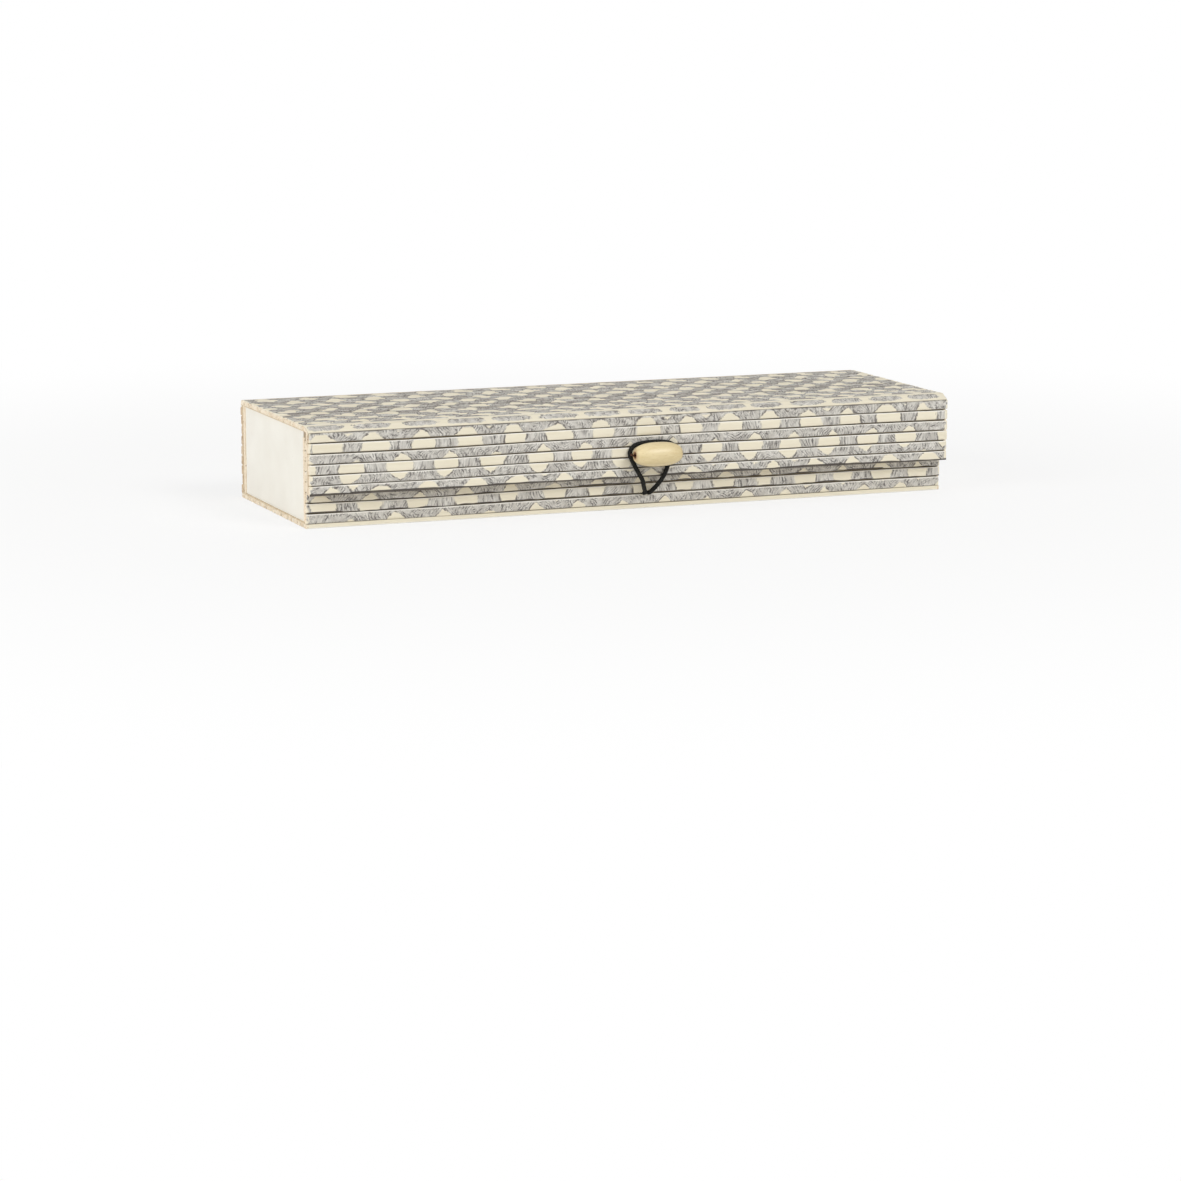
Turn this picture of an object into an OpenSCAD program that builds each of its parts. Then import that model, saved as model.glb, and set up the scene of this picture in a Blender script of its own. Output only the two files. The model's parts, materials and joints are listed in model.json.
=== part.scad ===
// Long box covered with printed slats, with a flip lid on a cloth hinge.
// A black elastic loop on the tray hooks over a wooden bead on the lid's flap.
// X runs along the box, the flap faces -Y, and Z is up from the surface the box stands on.

/* [Box] */
// Length of the tray, from slat end to slat end
tray_length = 259; // [180:1:360]
// Depth of the tray, from the front slats to the back slats
tray_depth = 83; // [60:1:140]
// Height of the closed box
box_height = 38.2; // [34:0.1:60]
// How far the lid reaches past the tray at each end
lid_overhang = 0.5; // [0:0.1:1.5]

/* [Slats] */
// Number of slats on the top of the lid, which share its depth
top_rows = 21; // [12:1:32]
// Number of slats on the flap
flap_rows = 6; // [5:1:8]
// Number of slats on the tray's front
front_rows = 8; // [6:1:12]
// Number of slats on the tray's back
back_rows = 9; // [6:1:13]
// Number of slats under the tray
bottom_rows = 21; // [12:1:33]
// Gap between neighbouring slats
slat_gap = 0.35; // [0.2:0.05:0.6]
// Thickness of a slat
slat_thickness = 1.7; // [1.2:0.1:2.4]
// Radius of a slat's two outer edges
slat_edge_radius = 0.5; // [0.2:0.1:0.8]
// Width of the slat along the front top edge, on its cloth side
edge_slat_width = 2.8; // [2:0.1:4]
// Tilt of that slat, in degrees
edge_slat_tilt = 28; // [18:1:40]

/* [Boards, cloth and paper] */
// Thickness of the tray's boards
board_thickness = 2.5; // [2:0.1:4]
// Thickness of the boards in the lid and the flap
lid_board_thickness = 2; // [1.6:0.1:3]
// Thickness of the backing cloth
cloth_thickness = 0.4; // [0.2:0.1:0.8]
// Thickness of the paper on the ends and of the linings
paper_thickness = 0.3; // [0.2:0.1:0.6]
// How far the white ends lie inside the slat ends
end_inset = 0.8; // [0.6:0.1:2]
// How far boards and cloth stop short of the slats that cover them
board_trim = 0.5; // [0.2:0.1:0.6]

/* [Lid] */
// Height of the lid, from its top to the lower edge of the flap
flap_height = 25.5; // [22:0.1:28]
// Gap between the flap and the tray front
flap_gap = 0.6; // [0.4:0.1:1.5]
// Gap between the lid and the tray's rim
rim_gap = 0.3; // [0.2:0.1:1]
// How far the front slats stop short of the tray's front rim
rim_trim = 0.6; // [0.3:0.1:1]
// Gap between the lid's board and the tray's walls, at both ends and at the back
lid_board_gap = 0.5; // [0.3:0.1:1.5]
// Distance from the hinge line to the slat edges nearest to it
hinge_gap = 0.5; // [0.4:0.1:1]
// Radius of the cloth fold along the hinge
hinge_fold_radius = 2; // [1:0.1:2]

/* [Bead] */
// How far the closure lies to the right of the box's middle
closure_shift = 5.5; // [-40:0.5:40]
// Flap slat that the bead is tied to, counted from the top
bead_row = 4; // [3:1:5]
// How far the bead's axis lies below the middle of that slat
bead_sink = 0.4; // [0:0.1:0.8]
// Length of the bead
bead_length = 20; // [19.5:0.1:21]
// Diameter of the bead at its middle
bead_diameter = 9.2; // [8.6:0.1:9.4]
// Diameter of the bead's two flat ends
bead_end_diameter = 4.4; // [3.6:0.1:4.6]
// Diameter of the hole along the bead
bead_bore = 1.8; // [1.4:0.1:2.4]
// Gap between the bead and the flap
bead_gap = 1.2; // [1:0.1:1.6]
// Diameter of the thread that ties the bead on
tie_diameter = 0.8; // [0.5:0.1:0.9]
// Distance of each thread hole from the bead's middle
tie_spread = 5.8; // [5.6:0.1:6]
// Diameter of the thread holes
tie_hole = 1.4; // [1.2:0.1:1.8]
// Diameter of a thread knot
tie_knot_diameter = 2.6; // [2:0.1:3.4]
// Height of a thread knot
tie_knot_height = 1.2; // [0.8:0.1:1.2]

/* [Elastic loop] */
// Diameter of the elastic cord
loop_diameter = 1.7; // [1.4:0.1:1.7]
// Diameter of the hole that the loop comes out of
loop_hole = 4.2; // [4:0.1:4.6]
// Number of front slats below that hole
loop_row = 1; // [1:1:2]
// Diameter of the knot that holds the loop
loop_knot_diameter = 5; // [4.8:0.1:6]
// Height of that knot
loop_knot_height = 1.6; // [1.2:0.1:1.6]
// Room round each knot in its pocket
knot_room = 0.3; // [0.2:0.1:0.6]

/* [Hidden] */
$fn = 48;

// Layers outside a board: slats on cloth
skin = slat_thickness + cloth_thickness;

// Tray, in Y from the middle and in Z from the ground
tray_face = tray_depth / 2;
wall_outer = tray_face - skin;
wall_inner = wall_outer - board_thickness;
floor_z = skin + board_thickness;
end_outer = tray_length / 2 - end_inset;
end_board_outer = end_outer - paper_thickness;
end_inner = end_board_outer - board_thickness;
lid_length = tray_length + 2 * lid_overhang;

// Lid, from the top down
lid_skin_z = box_height - slat_thickness;
lid_board_z = box_height - skin;
lid_lining_z = lid_board_z - lid_board_thickness;
lid_under_z = lid_lining_z - paper_thickness;
front_rim_z = lid_under_z - rim_gap;
end_rim_z = lid_board_z - rim_gap;
lid_back = wall_inner - lid_board_gap;

// Flap, from its inside out
flap_lining_y = -tray_face - flap_gap;
flap_board_in = flap_lining_y - paper_thickness;
flap_board_out = flap_board_in - lid_board_thickness;
flap_skin_y = flap_board_out - cloth_thickness;
flap_face = flap_skin_y - slat_thickness;
flap_bottom = box_height - flap_height;

// Hinge line, at the corner of the back board's outer face and the lid's board
hinge_y = wall_outer;
hinge_z = lid_board_z;

// The tilted front edge: the cloth turns at edge_top and edge_low
edge_along = [cos(edge_slat_tilt), sin(edge_slat_tilt)];
edge_low = [flap_skin_y, lid_skin_z - edge_slat_width * edge_along.y];
edge_top = [flap_skin_y + edge_slat_width * edge_along.x, lid_skin_z];
top_mitre = tan(edge_slat_tilt / 2);
flap_mitre = tan((90 - edge_slat_tilt) / 2);
flap_top_z = edge_low.y + slat_thickness * flap_mitre;

// Distance from slat to slat on each face
front_top_z = front_rim_z - rim_trim;
front_pitch = (front_top_z - slat_thickness) / front_rows;
bottom_pitch = tray_depth / bottom_rows;
back_pitch = (hinge_z - hinge_gap - slat_thickness) / back_rows;
top_pitch = (hinge_y - hinge_gap - edge_top.x) / top_rows;
flap_pitch = (flap_top_z - flap_bottom) / flap_rows;

// Closure: the bead's axis and the mouth of the loop's hole
bead_y = flap_face - bead_gap - bead_diameter / 2;
bead_z = flap_top_z - (bead_row - 0.5) * flap_pitch - bead_sink;
bead_sag = (bead_diameter - bead_end_diameter) / 2;
bead_curve = (pow(bead_length / 2, 2) + pow(bead_sag, 2)) / (2 * bead_sag);
loop_z = slat_thickness + loop_row * front_pitch;
loop_pocket_y = -wall_inner - loop_knot_height - knot_room;
tie_pocket_y = flap_board_in - tie_knot_height - knot_room;

// Half of the loop's route: sideways, outwards from the tray front, up from its hole
loop_start = [[1.15, 0, 0], [1.3, 1.2, 0.4], [2.4, 3, 2.8]];
// and sideways, outwards from the flap, up from the bead's axis
loop_end = [
    [4.2, 0.95, -10.3], [5.8, 1.15, -7.7], [7.7, 1.1, -4.1], [9.25, 1.05, -1],
    [9.25, 1.05, 1], [7.5, 1, 2.9], [4.2, 1, 3.7]
];
loop_crown = [0, 1, 3.9];

// Half of the thread's route: sideways from the bead's middle, back from its axis
tie_half = [
    [9, 0], [10.3, 0.1], [10.95, 0.9], [10.8, 2.1],
    [10, 2.95], [8.6, 3.5], [7.2, 4.05], [6.2, 4.6]
];

// Gap left between the end of a cord and its knot
cord_end_gap = 0.1;
cord_sides = 8;
spline_steps = 3;

print_grey = "#c3c2bd";
print_cream = "#ebe4cf";
cloth_tan = "#d9c6a8";
board_tan = "#cdb48f";
paper_white = "#f1ede3";
bead_wood = "#e6d4a9";
cord_black = "#1b1b1a";

// Shared shapes

// A section drawn in Y and Z, drawn out along the box and centred on its middle
module along_x(length) {
    rotate([90, 0, 90]) linear_extrude(length, center = true) children();
}

// A box between two corners
module block(low, high) {
    translate(low) cube(high - low);
}

// Section of a slat that lies on its cloth side, with its outer edges rounded
module slat_section(width) {
    edge = min(slat_edge_radius, width / 3, slat_thickness / 2);
    translate([-width / 2, 0]) square([width, slat_thickness - edge]);
    translate([edge - width / 2, 0]) square([width - 2 * edge, slat_thickness]);
    for (side = [-1, 1])
        translate([side * (width / 2 - edge), slat_thickness - edge]) circle(edge);
}

// A slat whose cloth side is at a place in Y and Z, facing out at an angle from upwards
module slat(length, pitch, place, facing) {
    along_x(length) translate(place) rotate(facing) slat_section(pitch - slat_gap);
}

// A round hole along Y between two places, at one X and Z
module hole_y(x, z, diameter, from, to) {
    translate([x, max(from, to), z]) rotate([90, 0, 0]) cylinder(d = diameter, h = abs(to - from));
}

// The hole that the elastic loop comes out of, and the pocket behind it
module loop_bore() {
    hole_y(closure_shift, loop_z, loop_hole, -tray_face - skin, -wall_inner);
    hole_y(closure_shift, loop_z, loop_knot_diameter + 2 * knot_room, loop_pocket_y, -wall_inner + skin);
}

// The two thread holes in the flap, and the pockets behind them
module tie_bores() {
    for (side = [-1, 1]) {
        x = closure_shift + side * tie_spread;
        hole_y(x, bead_z, tie_hole, flap_face - skin, flap_board_in);
        hole_y(x, bead_z, tie_knot_diameter + 2 * knot_room, tie_pocket_y, flap_board_in + skin);
    }
}

// Cord swept along points

function unit(v) = v / norm(v);
function heading(path, i) = unit(path[min(i + 1, len(path) - 1)] - path[max(i - 1, 0)]);
function across(v, t) = unit(v - (v * t) * t);
function sides_of(path, v, i = 0) =
    i == len(path) ? [] : let (n = across(v, heading(path, i))) concat([n], sides_of(path, n, i + 1));
function curve_at(a, b, c, d, t) =
    0.5 * (2 * b + (c - a) * t + (2 * a - 5 * b + 4 * c - d) * t * t + (3 * b - a - 3 * c + d) * t * t * t);
function smooth(path) = concat(
    [
        for (i = [0:len(path) - 2])
        for (s = [0:spline_steps - 1])
        curve_at(
            path[max(i - 1, 0)], path[i], path[i + 1], path[min(i + 2, len(path) - 1)],
            s / spline_steps
        )
    ],
    [path[len(path) - 1]]
);
function reversed(list) = [for (i = [len(list) - 1:-1:0]) list[i]];

module cord(path, diameter, first_side) {
    normals = sides_of(path, first_side);
    n = cord_sides;
    last = len(path) - 1;
    points = [
        for (i = [0:last])
        for (k = [0:n - 1])
        let (t = heading(path, i), a = 360 * k / n)
        path[i] + diameter / 2 * (cos(a) * normals[i] + sin(a) * cross(t, normals[i]))
    ];
    walls = [
        for (i = [0:last - 1])
        for (k = [0:n - 1])
        let (a = i * n + k, b = i * n + (k + 1) % n)
        each [[a, a + n, b + n], [a, b + n, b]]
    ];
    caps = [
        for (k = [1:n - 2])
        each [[0, k, k + 1], [last * n, last * n + k + 1, last * n + k]]
    ];
    polyhedron(points, concat(walls, caps));
}

// Tray

module bottom_slats() {
    color(print_grey)
    for (i = [0:bottom_rows - 1])
        slat(tray_length, bottom_pitch, [(i + 0.5) * bottom_pitch - tray_face, slat_thickness], 180);
}

module front_slat(i) {
    color(print_grey)
    difference() {
        slat(
            tray_length, front_pitch,
            [slat_thickness - tray_face, slat_thickness + (i - 0.5) * front_pitch], 90
        );
        loop_bore();
    }
}

module back_slats() {
    color(print_grey)
    for (i = [0:back_rows - 1])
        slat(
            tray_length, back_pitch,
            [tray_face - slat_thickness, slat_thickness + (i + 0.5) * back_pitch], -90
        );
}

module base_cloth() {
    cloth_face = tray_face - slat_thickness;
    back_top_z = hinge_z - hinge_gap;
    color(cloth_tan)
    difference() {
        along_x(tray_length - board_trim) polygon([
            [-cloth_face, front_top_z], [-cloth_face, slat_thickness],
            [cloth_face, slat_thickness], [cloth_face, back_top_z],
            [wall_outer, back_top_z], [wall_outer, skin],
            [-wall_outer, skin], [-wall_outer, front_top_z]
        ]);
        loop_bore();
    }
}

module bottom_board() {
    color(board_tan)
    block([-end_inner, -wall_inner, skin], [end_inner, wall_inner, floor_z]);
}

module front_board() {
    half = tray_length / 2 - board_trim;
    color(board_tan)
    difference() {
        block([-half, -wall_outer, skin], [half, -wall_inner, front_rim_z]);
        loop_bore();
    }
}

module back_board() {
    half = tray_length / 2 - board_trim;
    color(board_tan)
    block([-half, wall_inner, skin], [half, wall_outer, end_rim_z]);
}

module end_board() {
    color(board_tan)
    block([end_inner, -wall_inner, skin], [end_board_outer, wall_inner, end_rim_z]);
}

module end_board_right() {
    end_board();
}

module end_board_left() {
    mirror([1, 0, 0]) end_board();
}

module end_paper() {
    color(paper_white)
    block([end_board_outer, -wall_inner, skin], [end_outer, wall_inner, end_rim_z]);
}

module end_paper_right() {
    end_paper();
}

module end_paper_left() {
    mirror([1, 0, 0]) end_paper();
}

module tray_lining() {
    in_x = end_inner - paper_thickness;
    in_y = wall_inner - paper_thickness;
    color(paper_white)
    difference() {
        block([-end_inner, -wall_inner, floor_z], [end_inner, wall_inner, front_rim_z]);
        block([-in_x, -in_y, floor_z + paper_thickness], [in_x, in_y, front_rim_z + paper_thickness]);
    }
}

module loop_knot() {
    color(cord_black)
    hole_y(closure_shift, loop_z, loop_knot_diameter, loop_pocket_y, loop_pocket_y + loop_knot_height);
}

// The fold of cloth that the lid turns on, rounded about the hinge line
module hinge_cloth() {
    reach = hinge_fold_radius;
    color(cloth_tan)
    along_x(tray_length - board_trim) translate([hinge_y, hinge_z]) {
        intersection() {
            circle(hinge_fold_radius);
            square([reach, reach]);
        }
        translate([-hinge_gap, 0]) square([hinge_gap, cloth_thickness]);
        translate([0, -hinge_gap]) square([cloth_thickness, hinge_gap]);
    }
}

// Lid

module top_slat(i) {
    color(print_grey)
    slat(lid_length, top_pitch, [edge_top.x + (i - 0.5) * top_pitch, lid_skin_z], 0);
}

// The tilted slat, mitred to its neighbours
module edge_slat() {
    slack = slat_gap / 2 * edge_along;
    top_out = edge_top + slat_thickness * [-top_mitre, 1];
    low_out = edge_low + slat_thickness * [-1, flap_mitre];
    color(print_cream)
    along_x(lid_length) polygon([edge_top - slack, top_out - slack, low_out + slack, edge_low + slack]);
}

// A flap slat, counted from the top; the first one is mitred to the tilted slat
module flap_slat(i) {
    row_z = flap_top_z - i * flap_pitch;
    mitre_z = edge_low.y - slat_gap / 2;
    color(print_grey)
    difference() {
        intersection() {
            slat(lid_length, flap_pitch, [flap_skin_y, row_z + flap_pitch / 2], 90);
            along_x(lid_length) polygon([
                [flap_skin_y, row_z], [flap_skin_y, mitre_z],
                [flap_face, mitre_z + slat_thickness * flap_mitre], [flap_face, row_z]
            ]);
        }
        tie_bores();
    }
}

// Where the lid's cloth turns, at a depth under the slats
function turn_top(depth) = edge_top + depth * [top_mitre, -1];
function turn_low(depth) = edge_low + depth * [1, -flap_mitre];

module lid_cloth() {
    back_y = hinge_y - hinge_gap;
    low_z = flap_bottom + board_trim;
    color(cloth_tan)
    difference() {
        along_x(lid_length - board_trim) polygon([
            [back_y, lid_skin_z], edge_top, edge_low, [flap_skin_y, low_z],
            [flap_board_out, low_z], turn_low(cloth_thickness),
            turn_top(cloth_thickness), [back_y, lid_board_z]
        ]);
        tie_bores();
    }
}

module lid_board() {
    half = end_inner - lid_board_gap;
    front_y = max(flap_board_in, turn_top(cloth_thickness).x);
    color(board_tan)
    block([-half, front_y, lid_lining_z], [half, lid_back, lid_board_z]);
}

module flap_board() {
    low_z = flap_bottom + board_trim;
    low_turn = turn_low(cloth_thickness);
    in_z = min(lid_board_z, low_turn.y + lid_board_thickness * tan(edge_slat_tilt));
    color(board_tan)
    difference() {
        along_x(lid_length - 2 * board_trim) polygon([
            [flap_board_out, low_z], [flap_board_in, low_z], [flap_board_in, in_z], low_turn
        ]);
        tie_bores();
    }
}

module lid_lining() {
    half = end_inner - lid_board_gap;
    low_z = flap_bottom + board_trim;
    color(paper_white)
    along_x(2 * half) polygon([
        [lid_back, lid_lining_z], [flap_board_in, lid_lining_z], [flap_board_in, low_z],
        [flap_lining_y, low_z], [flap_lining_y, lid_under_z], [lid_back, lid_under_z]
    ]);
}

// Closure

module bead() {
    half = bead_length / 2;
    color(bead_wood)
    translate([closure_shift, bead_y, bead_z]) rotate([0, 90, 0]) rotate_extrude() intersection() {
        translate([bead_diameter / 2 - bead_curve, 0]) circle(bead_curve, $fn = 160);
        translate([bead_bore / 2, -half]) square([bead_diameter / 2 - bead_bore / 2, bead_length]);
    }
}

module bead_tie() {
    middle = [closure_shift, bead_y, bead_z];
    ends = [
        [tie_spread, flap_face - bead_y + slat_thickness / 2],
        [tie_spread, tie_pocket_y - cord_end_gap - bead_y]
    ];
    half = [for (p = concat(tie_half, ends)) [p.x, p.y, 0]];
    left = [for (p = reversed(half)) middle + [-p.x, p.y, p.z]];
    right = [for (p = half) middle + p];
    color(cord_black)
    cord(smooth(concat(left, right)), tie_diameter, [0, 0, 1]);
}

module tie_knots() {
    color(cord_black)
    for (side = [-1, 1])
        hole_y(
            closure_shift + side * tie_spread, bead_z, tie_knot_diameter,
            tie_pocket_y, tie_pocket_y + tie_knot_height
        );
}

module elastic_loop() {
    mouth = [closure_shift, -tray_face, loop_z];
    hook = [closure_shift, flap_face, bead_z];
    inside = [loop_start[0].x, cord_end_gap - tray_face - loop_pocket_y, 0];
    half = concat(
        [for (p = concat([inside], loop_start)) mouth + [p.x, -p.y, p.z]],
        [for (p = loop_end) hook + [p.x, -p.y, p.z]]
    );
    other = [for (p = reversed(half)) [2 * closure_shift - p.x, p.y, p.z]];
    crown = hook + [loop_crown.x, -loop_crown.y, loop_crown.z];
    color(cord_black)
    cord(smooth(concat(half, [crown], other)), loop_diameter, [0, 0, 1]);
}

bottom_slats();
back_slats();
base_cloth();
hinge_cloth();
bottom_board();
front_board();
back_board();
end_board_left();
end_board_right();
end_paper_left();
end_paper_right();
tray_lining();
loop_knot();
lid_board();
flap_board();
lid_cloth();
lid_lining();
edge_slat();
bead_tie();
tie_knots();
bead();
elastic_loop();
for (i = [1:front_rows]) front_slat(i);
for (i = [1:top_rows]) top_slat(i);
for (i = [1:flap_rows]) flap_slat(i);
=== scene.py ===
import json
import math

import bmesh
import bpy
from mathutils import Matrix, Vector, noise


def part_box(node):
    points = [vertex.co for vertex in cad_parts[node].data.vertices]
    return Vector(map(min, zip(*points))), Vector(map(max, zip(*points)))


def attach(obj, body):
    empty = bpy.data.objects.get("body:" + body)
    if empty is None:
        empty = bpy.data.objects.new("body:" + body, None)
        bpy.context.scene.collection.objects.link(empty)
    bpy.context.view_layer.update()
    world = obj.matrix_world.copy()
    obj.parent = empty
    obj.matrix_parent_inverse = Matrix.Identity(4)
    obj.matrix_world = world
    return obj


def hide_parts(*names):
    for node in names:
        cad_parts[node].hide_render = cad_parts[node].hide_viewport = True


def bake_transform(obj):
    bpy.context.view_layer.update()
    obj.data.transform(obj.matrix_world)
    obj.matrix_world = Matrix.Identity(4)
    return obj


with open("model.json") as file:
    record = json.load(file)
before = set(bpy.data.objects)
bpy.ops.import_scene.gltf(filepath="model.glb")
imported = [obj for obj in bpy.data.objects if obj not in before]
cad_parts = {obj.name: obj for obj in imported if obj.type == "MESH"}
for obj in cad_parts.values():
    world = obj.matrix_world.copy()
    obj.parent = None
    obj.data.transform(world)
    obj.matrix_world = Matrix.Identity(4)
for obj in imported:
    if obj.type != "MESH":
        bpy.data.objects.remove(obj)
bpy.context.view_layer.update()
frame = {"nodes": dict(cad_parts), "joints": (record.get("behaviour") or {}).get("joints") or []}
nodes = frame["nodes"]
scene = bpy.context.scene
scene.view_settings.view_transform = "Standard"
mm = 0.001
print("frame loaded:", len(nodes), "nodes")


# small tools for node trees

def tone(red, green, blue):
    # an sRGB colour as the linear numbers a socket takes
    parts = [c / 255 for c in (red, green, blue)]
    return [c / 12.92 if c <= 0.04045 else ((c + 0.055) / 1.055) ** 2.4 for c in parts] + [1]


def put(tree, kind, settings, inputs):
    node = tree.nodes.new("ShaderNode" + kind)
    for key, value in settings.items():
        setattr(node, key, value)
    for key, value in inputs.items():
        if isinstance(value, bpy.types.NodeSocket):
            tree.links.new(value, node.inputs[key])
        else:
            node.inputs[key].default_value = value
    return node


def calc(tree, operation, *values):
    return put(tree, "Math", {"operation": operation}, dict(enumerate(values))).outputs[0]


def fade(tree, value, low, high):
    # 0 below low, 1 above high, smooth between them
    inputs = {"Value": value, "From Min": low, "From Max": high}
    return put(tree, "MapRange", {"interpolation_type": "SMOOTHSTEP"}, inputs).outputs[0]


def without(tree, value):
    return calc(tree, "SUBTRACT", 1.0, value)


def tint(tree, factor, base, over):
    return put(tree, "Mix", {"data_type": "RGBA"}, {0: factor, 6: base, 7: over}).outputs[2]


def placed(tree, vector, scale, turn=0.0, shift=(0, 0, 0)):
    inputs = {"Vector": vector, "Scale": scale, "Rotation": (0, 0, math.radians(turn)), "Location": shift}
    return put(tree, "Mapping", {}, inputs).outputs[0]


def cloud(tree, vector, scale, detail=2.0, rough=0.5):
    inputs = {"Vector": vector, "Scale": scale, "Detail": detail, "Roughness": rough}
    return put(tree, "TexNoise", {}, inputs)


def lineAt(tree, value, at, thin, wide):
    # 1 where the value is the given one, fading out between thin and wide
    away = calc(tree, "ABSOLUTE", calc(tree, "SUBTRACT", value, at))
    return without(tree, fade(tree, away, thin, wide))


def scribble(tree, vector, scale, turn, shift, thin):
    # thin wandering lines along one direction
    field = cloud(tree, placed(tree, vector, scale, turn, shift), 1.0, 1.5).outputs[0]
    return lineAt(tree, field, 0.5, thin * 0.35, thin)


def split(tree, vector):
    return put(tree, "SeparateXYZ", {}, {0: vector}).outputs


def mark(tree, name):
    # a number kept on the vertices
    return put(tree, "Attribute", {"attribute_name": name}, {}).outputs["Fac"]


def bodyPlace(tree):
    return put(tree, "TexCoord", {}, {}).outputs["Object"]


def drawnMap(tree, name):
    return put(tree, "UVMap", {"uv_map": name}, {}).outputs[0]


def lengthOf(tree, vector):
    return put(tree, "VectorMath", {"operation": "LENGTH"}, {0: vector}).outputs["Value"]


def newFinish(name, rough, specular=0.3):
    finish = bpy.data.materials.new(name)
    finish.use_nodes = True
    tree = finish.node_tree
    shader = tree.nodes["Principled BSDF"]
    shader.inputs["Roughness"].default_value = rough
    shader.inputs["Specular IOR Level"].default_value = specular
    return finish, tree, shader


def colourIt(tree, shader, colour):
    tree.links.new(colour, shader.inputs["Base Color"])


def bumpIt(tree, shader, height, depth, strength=1.0):
    inputs = {"Height": height, "Distance": depth, "Strength": strength}
    tree.links.new(put(tree, "Bump", {}, inputs).outputs[0], shader.inputs["Normal"])


# printed slats

printLook = {
    "period": 17.35, "pitch": 8.5, "rowAt": 5.2,       # lattice of the pale patches, in mm of the print map
    "patch": (4.5, 4.3), "ovalShare": 0.42, "diamondShare": 0.46, "ragged": 0.34,
    "patchInk": (0.9, 1.08), "patchLine": 1.04,        # where the grey and its outline start around a patch
    "dash": (7.2, 1.7), "dashAt": -2.7, "blunt": 1.8,  # row of dashes on the tilted front edge
    "dashInk": (1.3, 1.62), "dashLine": 1.45,
    "foldBand": (0.0, 0.2, 0.7, 1.2),                  # grey band along the top of the flap
    "foldLine": (0.35, 0.12, 0.3),                     # broken dark line in it
    "strokeGap": 1.25, "tangle": (34, -41), "tangleThin": 0.036, "lineWidth": (0.04, 0.11),
    "cream": (240, 232, 210), "creamDeep": (235, 226, 202), "wearAndHighlightTone": (251, 248, 239),
    "wash": (224, 221, 214), "washDeep": (196, 192, 185), "dim": (168, 162, 155),
    # side: painted shade on the slats' sides in the gaps; sidePale: their bare wood
    "stroke": (92, 88, 87), "outline": (98, 92, 89), "side": (84, 76, 66), "sidePale": (150, 137, 117),
    "bareEnd": (0.1314, 0.1318), "tip": (0.1284, 0.1289),          # how far out the print and the painted shade of the sides stop
    "paintedShadowLine": (0.6, 1.0), "paintedShadowTone": (74, 68, 63), "halfWide": 1.77,  # reach of the painted shadow line along an edge
}


def latticeAt(tree, x, y, period, pitch, radii):
    # distance to the nearest pale patch's middle, 1 on its outline, which lies between an oval and a diamond
    found = []
    for half in (0.0, 0.5):
        across = calc(tree, "WRAP", calc(tree, "ADD", x, half * period), period / 2, -period / 2)
        along = calc(tree, "WRAP", calc(tree, "ADD", y, half * 2 * pitch), pitch, -pitch)
        pair = {0: calc(tree, "DIVIDE", across, radii[0]), 1: calc(tree, "DIVIDE", along, radii[1])}
        oval = lengthOf(tree, put(tree, "CombineXYZ", {}, pair).outputs[0])
        diamond = calc(tree, "ADD", *(calc(tree, "ABSOLUTE", part) for part in pair.values()))
        found.append(calc(
            tree, "MULTIPLY_ADD", diamond, printLook["diamondShare"],
            calc(tree, "MULTIPLY", oval, printLook["ovalShare"])))
    return calc(tree, "MINIMUM", *found)


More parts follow.
